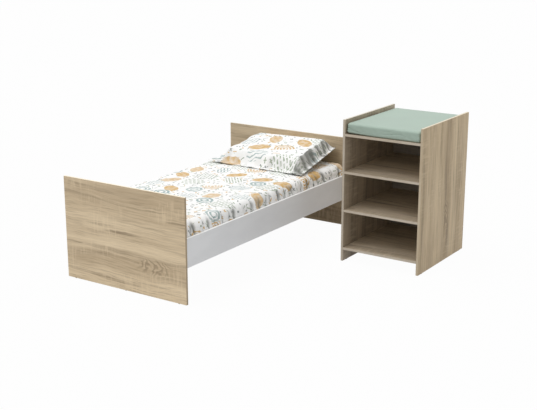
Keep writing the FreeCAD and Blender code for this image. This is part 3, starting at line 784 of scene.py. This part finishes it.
def gather_folds(along, up, span, spacing, seed, breadth, least):
    """Folds of cloth drawn in at a hem: creases at seeded places.

    Each leans a little and ends at its own height. The folds are the sum of each crease's depth times
    exp(-distance / width), along a closed line of that span; up runs from 0 at the hem to 1 where the last
    creases end, and a crease widens on its way up. Their depths lie between the least one and 1."""
    chance = np.random.default_rng(seed)
    count = int(span / spacing)
    middles = (np.arange(count) + chance.uniform(-CREASE_SCATTER, CREASE_SCATTER, count)) * (span / count)
    widths = chance.uniform(*CREASE_WIDTHS, count) * spacing * breadth
    depths = chance.uniform(least, 1.0, count)
    leans = chance.uniform(-CREASE_LEAN, CREASE_LEAN, count) * spacing
    heads = chance.uniform(*CREASE_ENDS, count)
    along, up = along[..., None], up[..., None]
    gap = np.abs((along + leans * up - middles + span / 2) % span - span / 2)
    ends = 1 / (1 + np.exp((up - heads) / CREASE_SOFTNESS))
    return (depths * ends * np.exp(-gap / (widths * (CREASE_START + CREASE_GROWTH * up)))).sum(axis=-1)


def store_painted_fold_shade(piece, folds):
    """Keeps the depth of the folds on the mesh, as the painted shade in them."""
    layer = piece.data.attributes.new(PAINTED_FOLD_SHADE, "FLOAT", "POINT")
    layer.data.foreach_set("value", np.clip(folds, 0, 1).astype(np.float32).ravel())


def mesh_points(piece):
    """Places of a piece's points."""
    found = np.zeros(len(piece.data.vertices) * 3, dtype=np.float32)
    piece.data.vertices.foreach_get("co", found)
    return found.reshape(-1, 3).astype(float)


def settle_cloth(piece, volume, filled, frames):
    """Fills a closed case to a volume with the cloth solver, without weight.

    The filling presses on each point by its share in filled. Returns the last frame's points."""
    scene = bpy.context.scene
    group = piece.vertex_groups.new(name="filled")
    for level in np.unique(np.round(filled, 1)):
        group.add(np.flatnonzero(np.round(filled, 1) == level).tolist(), float(level), "REPLACE")
    solver = piece.modifiers.new("Fill", "CLOTH")
    cloth = solver.settings
    cloth.quality = 7
    cloth.mass = 0.2
    cloth.air_damping = 4
    cloth.tension_stiffness = cloth.compression_stiffness = 25
    cloth.shear_stiffness = 8
    cloth.bending_stiffness = 0.05
    cloth.use_pressure = True
    cloth.use_pressure_volume = True
    cloth.target_volume = volume
    cloth.pressure_factor = 1.5
    cloth.vertex_group_pressure = group.name
    cloth.uniform_pressure_force = 0
    cloth.effector_weights.gravity = 0
    solver.collision_settings.use_collision = False
    solver.point_cache.frame_start = 1
    solver.point_cache.frame_end = frames
    for step in range(1, frames + 1):
        scene.frame_set(step)
    settled = mesh_points(piece.evaluated_get(bpy.context.evaluated_depsgraph_get()))
    piece.modifiers.remove(solver)
    piece.vertex_groups.remove(group)
    scene.frame_set(1)
    return settled


def make_mattress(looks):
    """Foam mattress in a knitted cover: a rounded block a little inside the sheet."""
    low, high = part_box("mattress")
    slack = Vector((looks.core_slack, looks.core_slack, 0))
    sunk = Vector((0, 0, looks.core_slack / 2))
    points = cushion_grid(low + slack, high - slack - sunk, looks.corner, looks.edge, looks.crown, *CORE_GRID,
                          hem=(high.x - low.x) / 2)[0]
    piece = make_piece("mattress_core", points, grid_faces(*points.shape[:2], wrap=True),
                       plain_cloth("mattress ticking", looks.ticking, pitch=0.004))
    close_up(piece, WELD)
    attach(piece, "mattress")
    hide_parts("mattress")


def make_sheet(looks, cotton):
    """Fitted sheet: the mattress block's surface from its hem upwards, with folds drawn along its sides.

    The sides swell by half a sine of the way up, unevenly round the outline, and the gathers are pressed
    into them. These fade to nothing at the hem and as exp(-way / reach) over the top, and behind the rails
    only a share of both is left. The top is uneven by the product of two sums of waves."""
    low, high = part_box("fitted_sheet")
    points, facing, cloth, along, climb, over = cushion_grid(
        low, high, looks.corner, looks.edge, looks.crown, *SHEET_GRID, hem=looks.hem)
    total = along[-1] + along[0]
    folds = np.zeros(points.shape[:2])
    for number, (count, strength, least) in enumerate(SHEET_GATHERS):
        folds += strength * gather_folds(along[None], climb[:, None], total, looks.gather_spacing / count,
                                         NOISE_SEED + 4 * number, breadth=1.0, least=least)
    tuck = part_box("side_rail_right")[1].z + TUCK_START
    free = TUCKED_SHARE + (1 - TUCKED_SHARE) / (1 + np.exp((tuck - points[..., 2]) / TUCK_SOFTNESS))
    puff = looks.gather_puff * (PUFF_MEAN + PUFF_SWAY * waves(along, PUFF_WAVES, NOISE_SEED + 1))
    risen = np.clip((climb - PUFF_START) / (1 - PUFF_START), 0, 1)
    bulge = np.sin(risen * math.pi)[:, None] * puff[None]
    fade = np.where(climb < 1, np.clip(climb * 3, 0, 1), np.exp(-over / TOP_FADE_REACH) * TOP_FADE)[:, None]
    push = (bulge - folds * looks.gather_depth * fade) * free
    points += facing * push[..., None]
    x, y = points[..., 0], points[..., 1]
    slack = waves(x + TOP_TURN_X * y, TOP_WAVES_X, NOISE_SEED + 2)
    slack *= waves(y - TOP_TURN_Y * x, TOP_WAVES_Y, NOISE_SEED + 3)
    points[..., 2] += np.minimum(looks.top_slack * slack, looks.top_slack) * over[:, None] ** 0.5
    piece = make_piece("fitted_sheet_cloth", points, grid_faces(*points.shape[:2], wrap=True), cotton, cloth)
    # Painted shade in the gathers: darker where they are deeper, fading over the top.
    painted_shade = np.clip((folds - SHEET_PAINTED_SHADE_START) * SHEET_PAINTED_SHADE_GAIN, 0, 1)
    store_painted_fold_shade(piece, painted_shade * looks.fold_painted_shade * fade)
    close_up(piece, WELD)
    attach(piece, "mattress")
    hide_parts("fitted_sheet")


def pillow_case(width, depth, columns, rows):
    """Two flat layers of cloth that share their outline: points, quads and flat places."""
    across, back = np.meshgrid(np.linspace(-1, 1, columns), np.linspace(-1, 1, rows))
    flat = np.dstack([across * width / 2, back * depth / 2])
    start = CASE_START * np.sqrt((1 - across ** 2) * (1 - back ** 2))
    layers = np.stack([np.dstack([flat, start]), np.dstack([flat, -start])]).reshape(-1, 3)
    index = np.arange(rows * columns).reshape(rows, columns)
    twin = index + rows * columns
    rim = np.maximum(np.abs(across), np.abs(back)) == 1
    twin[rim] = index[rim]
    upper = grid_faces(rows, columns, wrap=False)
    lower = twin.ravel()[upper][:, ::-1]
    used, faces = np.unique(np.concatenate([upper, lower]), return_inverse=True)
    return layers[used], faces.reshape(-1, 4), np.concatenate([flat, flat]).reshape(-1, 2)[used]


def fill_case(looks, columns, rows):
    """Settled places of a pillow case's two layers, as grids: the cloth solver fills the flat case."""
    points, faces, flat = pillow_case(looks.pillow_width, looks.pillow_depth, columns, rows)
    half = np.array([looks.pillow_width, looks.pillow_depth]) / 2
    blank = make_piece("pillow_blank", points, faces, None)
    inward = (half - np.abs(flat)).min(axis=1) / looks.pillow_border
    filled = np.clip(inward * FILL_GROWTH - FILL_FROM, 0, 1)
    points = settle_cloth(blank, looks.pillow_volume, filled, FILL_FRAMES)
    bpy.data.meshes.remove(blank.data)
    upper = points[:rows * columns].reshape(rows, columns, 3)
    lower = upper.copy()
    lower[1:-1, 1:-1] = points[rows * columns:].reshape(rows - 2, columns - 2, 3)
    return np.stack([upper, lower])


def halve_steps(layers):
    """The same grids with a point added halfway between each two neighbours."""
    for axis in (1, 2):
        size = layers.shape[axis]
        halfway = (layers.take(range(1, size), axis) + layers.take(range(size - 1), axis)) / 2
        layers = np.insert(layers, np.arange(1, size), halfway, axis=axis)
    return layers


def make_pillow(looks, cotton):
    """Pillow in its case: two flat layers filled by the cloth solver, gathered at the seams and leant back.

    The swell t, as a share of the rise, becomes 1 - (1 - t) to a power, which flattens the top. It is
    multiplied by a smooth step of the distance from each seam, which leaves flat ears at the corners, and
    by 1 minus the gathers. The border of these steps widens away from the unit. The short sides bulge by
    a smooth step up and another down. The underside is pressed to a share of the swell, and flat where it
    rests. The gathers carry painted shade, and on the side towards the light most of it is left out."""
    columns, rows = CASE_GRID
    upper, lower = halve_steps(fill_case(looks, columns, rows))
    points = np.concatenate([upper.reshape(-1, 3), lower[1:-1, 1:-1].reshape(-1, 3)])
    faces, flat = pillow_case(looks.pillow_width, looks.pillow_depth, 2 * columns - 1, 2 * rows - 1)[1:]
    layer = np.where(np.arange(len(points)) < upper.shape[0] * upper.shape[1], 1, -1)

    half = np.array([looks.pillow_width, looks.pillow_depth]) / 2
    margin, outward, aside = half - np.abs(flat), np.sign(flat), -flat[:, 0] / half[0]
    border = looks.pillow_border * (1 + looks.pillow_skew * aside)
    slack = 1 - smooth_step(margin, 0, border[:, None])
    folds, sway = np.zeros_like(flat), np.zeros_like(flat)
    growing = LONG_STRENGTH + (1 - LONG_STRENGTH) * smooth_step(aside, *LONG_GROWTH)
    for axis, strength, reach in ((0, SHORT_STRENGTH, SHORT_REACH), (1, growing, LONG_REACH)):
        seam = flat[:, 1 - axis] + outward[:, axis]
        inward = np.clip(margin[:, axis] / (border * reach), 0, CASE_END)
        folds[:, axis] = strength * gather_folds(seam, inward, SEAM_SPAN, looks.pillow_gathers,
                                                 NOISE_SEED + 50 + axis, CASE_BREADTH, CASE_LEAST)
        sway[:, axis] = slack[:, axis] * waves(seam, FLUTTER_WAVES, NOISE_SEED + 60 + axis)
    level = np.abs(points[:, 2]) / np.abs(points[:, 2]).max()
    crest = 1 - (1 - level) ** looks.pillow_fullness
    crest *= smooth_step(margin, looks.pillow_flange, border[:, None]).prod(axis=1)
    swell = crest * (1 - looks.pillow_crease * np.clip((folds * slack).sum(axis=1), 0, 1))
    hem = looks.pillow_hem / 2 * np.clip(margin.min(axis=1) / (2 * looks.pillow_hem), 0, 1)
    points[:, 2] = looks.pillow_rise * swell * np.where(layer > 0, 1, -looks.pillow_press) + layer * hem
    points[:, 2] += looks.pillow_flutter * sway.sum(axis=1)
    points[:, :2] += outward * sway * looks.pillow_flutter
    wall = smooth_step(margin[:, 0], looks.pillow_flange, border)
    wall *= 1 - smooth_step(margin[:, 0], border, BULGE_REACH * border)
    wall *= smooth_step(margin[:, 1], 0, border) * (1 - looks.pillow_crease * np.clip(folds[:, 0], 0, 1))
    points[:, 0] += outward[:, 0] * looks.pillow_bulge * wall
    points[:, 0] *= 1 + looks.pillow_spread * (SPREAD_FROM - flat[:, 1] / half[1])

    cosine, sine = math.cos(looks.pillow_tilt), math.sin(looks.pillow_tilt)
    points = points @ np.array([[1, 0, 0], [0, cosine, sine], [0, -sine, cosine]])
    low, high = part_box("pillow")
    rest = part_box("fitted_sheet")[1].z + looks.pillow_hem
    points[:, 0] += (low.x + high.x) / 2 + looks.pillow_shift
    points[:, 1] += high.y - points[:, 1].max()
    points[:, 2] += rest - looks.pillow_sink - points[:, 2].min()
    points[:, 2] = np.maximum(points[:, 2], rest + hem * (layer + 1))
    piece = make_piece("pillow_cloth", points, faces, cotton, flat + np.array(CASE_PRINT))
    # Painted shade in the gathers, on the wall up to past the crest; most of it is left out towards the
    # light.
    painted_shade = (folds * (1 - smooth_step(margin / border[:, None], 1, CASE_END))).max(axis=1)
    painted_shade = np.clip((painted_shade - CASE_PAINTED_SHADE_START) * CASE_PAINTED_SHADE_GAIN, 0, 1)
    painted_shade_kept = 1 - looks.pillow_painted_shade_lift * smooth_step(aside, LIT_FROM, LIT_TO)
    store_painted_fold_shade(piece, painted_shade * looks.fold_painted_shade * painted_shade_kept)
    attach(piece, "pillow")
    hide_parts("pillow")


def make_pad(looks):
    """Changing pad: a rounded block in a coated cover, with slack folds along its sides.

    A fold is a line round the sides whose height, as a share of the pad's, sways along the outline; the
    cover dips by exp(-distance / width) at it. The front left corner is raised off the changing top."""
    low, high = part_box("changing_pad")
    low.x -= looks.spread
    high.x += looks.spread
    points, facing, _, along, climb, _ = cushion_grid(
        low, high, looks.corner, looks.edge, looks.crown, *PAD_GRID, hem=(high.x - low.x) / 2)
    up = climb[:, None]
    side = np.sin(np.clip(up, 0, 1) * math.pi) ** PAD_SIDE_POWER
    push = np.zeros(points.shape[:2])
    for number, (height, reach, width) in enumerate(PAD_FOLDS):
        line = height + reach * waves(along, PAD_LINE_WAVES, NOISE_SEED + 7 + number)
        keen = PAD_DEPTH + PAD_DEPTH_SWAY * waves(along, PAD_DEPTH_WAVES, NOISE_SEED + 17 + number)
        keen = np.clip(keen, 0, 1)
        push -= np.exp(-np.abs(up - line[None]) / width) * keen[None] * side
    wrinkle = waves(along[None] + PAD_SLANT * points[..., 2], PAD_WRINKLE_WAVES, NOISE_SEED + 27)
    push += PAD_WRINKLE * wrinkle * side
    points += facing * (push * looks.crease_depth)[..., None]
    from_corner = np.hypot(points[..., 0] - low.x, points[..., 1] - low.y)
    lifted = np.exp(-(from_corner / PAD_LIFT_REACH) ** 2) * (1 - PAD_LIFT_LOSS * up)
    points[..., 2] += looks.corner_lift * lifted
    points[..., 2] = np.minimum(points[..., 2], high.z)
    piece = make_piece("changing_pad_cover", points, grid_faces(*points.shape[:2], wrap=True),
                       coated_cloth("mint coated cloth", looks.mint))
    close_up(piece, WELD)
    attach(piece, "changing_pad")
    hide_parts("changing_pad")


class NURSERY_OT_boards(bpy.types.Operator):
    """Oak laminate on the bed ends and the unit, its grain along each board"""

    bl_idname = "nursery.boards"
    bl_label = "Finish the boards"

    def execute(self, context):
        for node in OAK_BOARDS:
            dress(oak(node, context.scene.nursery_boards), node)
        return {"FINISHED"}


class NURSERY_OT_rails(bpy.types.Operator):
    """White satin lacquer on both side rails"""

    bl_idname = "nursery.rails"
    bl_label = "Finish the side rails"

    def execute(self, context):
        dress(lacquer("white lacquer", context.scene.nursery_boards), "side_rail_left", "side_rail_right")
        return {"FINISHED"}


class NURSERY_OT_slats(bpy.types.Operator):
    """Planed pine on slats and battens, and the cotton tapes under the slats"""

    bl_idname = "nursery.slats"
    bl_label = "Finish the slatted base"

    def execute(self, context):
        looks = context.scene.nursery_boards
        slats = [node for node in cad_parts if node.startswith("slat_") and node[5:].isdigit()]
        shades = looks.pine_light, looks.pine_dark
        dress(planed_wood("slat pine", *shades, "x", "y"), *slats)
        dress(planed_wood("batten pine", *shades, "y", "z"), "slat_batten_left", "slat_batten_right")
        dress(plain_cloth("cotton tape", looks.tape, pitch=0.0016), "slat_tape_left", "slat_tape_right")
        return {"FINISHED"}


class NURSERY_OT_fittings(bpy.types.Operator):
    """Cast and plated metal, beech dowels and plastic glides"""

    bl_idname = "nursery.fittings"
    bl_label = "Finish the fittings"

    def execute(self, context):
        looks = context.scene.nursery_fittings
        dress(metal("cast zinc", looks.zinc, roughness=0.5), "rail_cam_locks", "shelf_cam_locks")
        dress(metal("plated steel", looks.steel, roughness=0.3), "rail_cam_bolts", "shelf_cam_bolts",
              "slat_screws", "batten_screws", "shelf_pins", "back_nails")
        for dowels, along in (("rail_dowels", "y"), ("shelf_dowels", "x")):
            name = "beech " + dowels.replace("_", " ")
            dress(planed_wood(name, looks.beech, looks.beech_fleck, along, "z"), dowels)
        dress(moulded("glide plastic", looks.glide), "footboard_glides", "headboard_glides", "unit_glides")
        return {"FINISHED"}


class NURSERY_OT_bedding(bpy.types.Operator):
    """Mattress, fitted sheet and pillow"""

    bl_idname = "nursery.bedding"
    bl_label = "Make the bedding"

    def execute(self, context):
        looks = context.scene.nursery_bedding
        cotton = printed_cotton("printed cotton", looks)
        make_mattress(looks)
        make_sheet(looks, cotton)
        make_pillow(looks, cotton)
        return {"FINISHED"}


class NURSERY_OT_changing_pad(bpy.types.Operator):
    """Mint pad on the changing top"""

    bl_idname = "nursery.changing_pad"
    bl_label = "Make the changing pad"

    def execute(self, context):
        make_pad(context.scene.nursery_pad)
        return {"FINISHED"}


class NURSERY_OT_stage(bpy.types.Operator):
    """Pale floor, soft light and the camera"""

    bl_idname = "nursery.stage"
    bl_label = "Set the stage"

    def execute(self, context):
        looks = context.scene.nursery_stage
        context.scene.view_settings.view_transform = "Standard"
        self.lay_floor(looks)
        self.light_world(context, looks)
        self.hang_key(context, looks)
        self.place_camera(context, looks)
        return {"FINISHED"}

    @staticmethod
    def seen(paint):
        """1 on rays that show the backdrop: from the camera, in reflections and through glass."""
        node = paint.tree.nodes.new("ShaderNodeLightPath")
        rays = [Value(paint, node.outputs[name]) for name in
                ("Is Camera Ray", "Is Glossy Ray", "Is Transmission Ray")]
        return rays[0].math("MAXIMUM", rays[1]).math("MAXIMUM", rays[2])

    def lay_floor(self, looks):
        """Matt floor, of which the camera sees mostly the white backdrop."""
        half = looks.floor_size / 2
        spots = np.linspace(-half, half, FLOOR_SPOTS)
        x, y = np.meshgrid(spots, spots)
        points = np.stack([x, y, np.zeros_like(x)], axis=-1)
        paint = Finish("pale floor")
        matt = paint.node("ShaderNodeBsdfDiffuse", inputs={"Color": looks.floor})
        white = paint.node("ShaderNodeEmission", inputs={"Color": (1, 1, 1), "Strength": 1.0})
        factor = self.seen(paint) * looks.backdrop_share
        shown = paint.node("ShaderNodeMixShader", inputs={0: factor, 1: matt, 2: white})
        paint.feed(paint.tree.nodes["Material Output"].inputs["Surface"], shown)
        floor = make_piece("floor", points, grid_faces(*x.shape, wrap=False), paint.material)

    def light_world(self, context, looks):
        """Even light from all round, with a white backdrop."""
        world = bpy.data.worlds.new("studio")
        world.use_nodes = True
        context.scene.world = world
        paint = Nodes(world.node_tree)
        ambient = paint.node("ShaderNodeBackground", inputs={"Color": (1, 1, 1), "Strength": looks.ambient})
        white = paint.node("ShaderNodeBackground", inputs={"Color": (1, 1, 1), "Strength": 1.0})
        shown = paint.node("ShaderNodeMixShader", inputs={0: self.seen(paint), 1: ambient, 2: white})
        paint.feed(paint.tree.nodes["World Output"].inputs["Surface"], shown)

    def hang_key(self, context, looks):
        """Broad soft light from above."""
        lamp = bpy.data.lights.new("soft key", "SUN")
        lamp.energy = looks.key
        lamp.angle = looks.key_spread
        key = bpy.data.objects.new("soft key", lamp)
        key.rotation_euler = Vector(looks.key_from).to_track_quat("Z", "Y").to_euler()
        context.scene.collection.objects.link(key)

    def place_camera(self, context, looks):
        """Camera that was fitted to the photo's straight edges."""
        lens = bpy.data.cameras.new("view")
        lens.sensor_width = SENSOR_WIDTH
        lens.sensor_fit = "HORIZONTAL"
        lens.lens = looks.lens
        camera = bpy.data.objects.new("view", lens)
        camera.location = looks.eye
        camera.rotation_euler = (math.pi / 2 - looks.dip, 0, looks.swing)
        context.scene.collection.objects.link(camera)
        context.scene.camera = camera


class NURSERY_PT_set(bpy.types.Panel):
    """Lists the steps that dress the bed and the unit"""

    bl_idname = "NURSERY_PT_set"
    bl_label = "Nursery set"
    bl_space_type = "VIEW_3D"
    bl_region_type = "UI"
    bl_category = "Nursery"

    def draw(self, context):
        for step in STEPS:
            self.layout.operator(step.bl_idname)
        for name, group in GROUPS.items():
            box = self.layout.box()
            box.label(text=group.__doc__)
            for field in group.__annotations__:
                box.prop(getattr(context.scene, name), field)


GROUPS = {"nursery_boards": BoardLooks, "nursery_fittings": FittingLooks, "nursery_bedding": BeddingLooks,
          "nursery_pad": PadLooks, "nursery_stage": StageLooks}
STEPS = (NURSERY_OT_boards, NURSERY_OT_rails, NURSERY_OT_slats, NURSERY_OT_fittings, NURSERY_OT_bedding,
         NURSERY_OT_changing_pad, NURSERY_OT_stage)


def register():
    """Registers the classes and hangs the property groups on the scene."""
    for item in (*GROUPS.values(), *STEPS, NURSERY_PT_set):
        bpy.utils.register_class(item)
    for name, group in GROUPS.items():
        setattr(bpy.types.Scene, name, PointerProperty(type=group))


def unregister():
    """Takes back what register does."""
    for name in GROUPS:
        delattr(bpy.types.Scene, name)
    for item in reversed((*GROUPS.values(), *STEPS, NURSERY_PT_set)):
        bpy.utils.unregister_class(item)


def main():
    """Registers the add-on and runs its steps in order."""
    register()
    for step in STEPS:
        group, name = step.bl_idname.split(".")
        getattr(getattr(bpy.ops, group), name)()


if __name__ == "__main__":
    main()
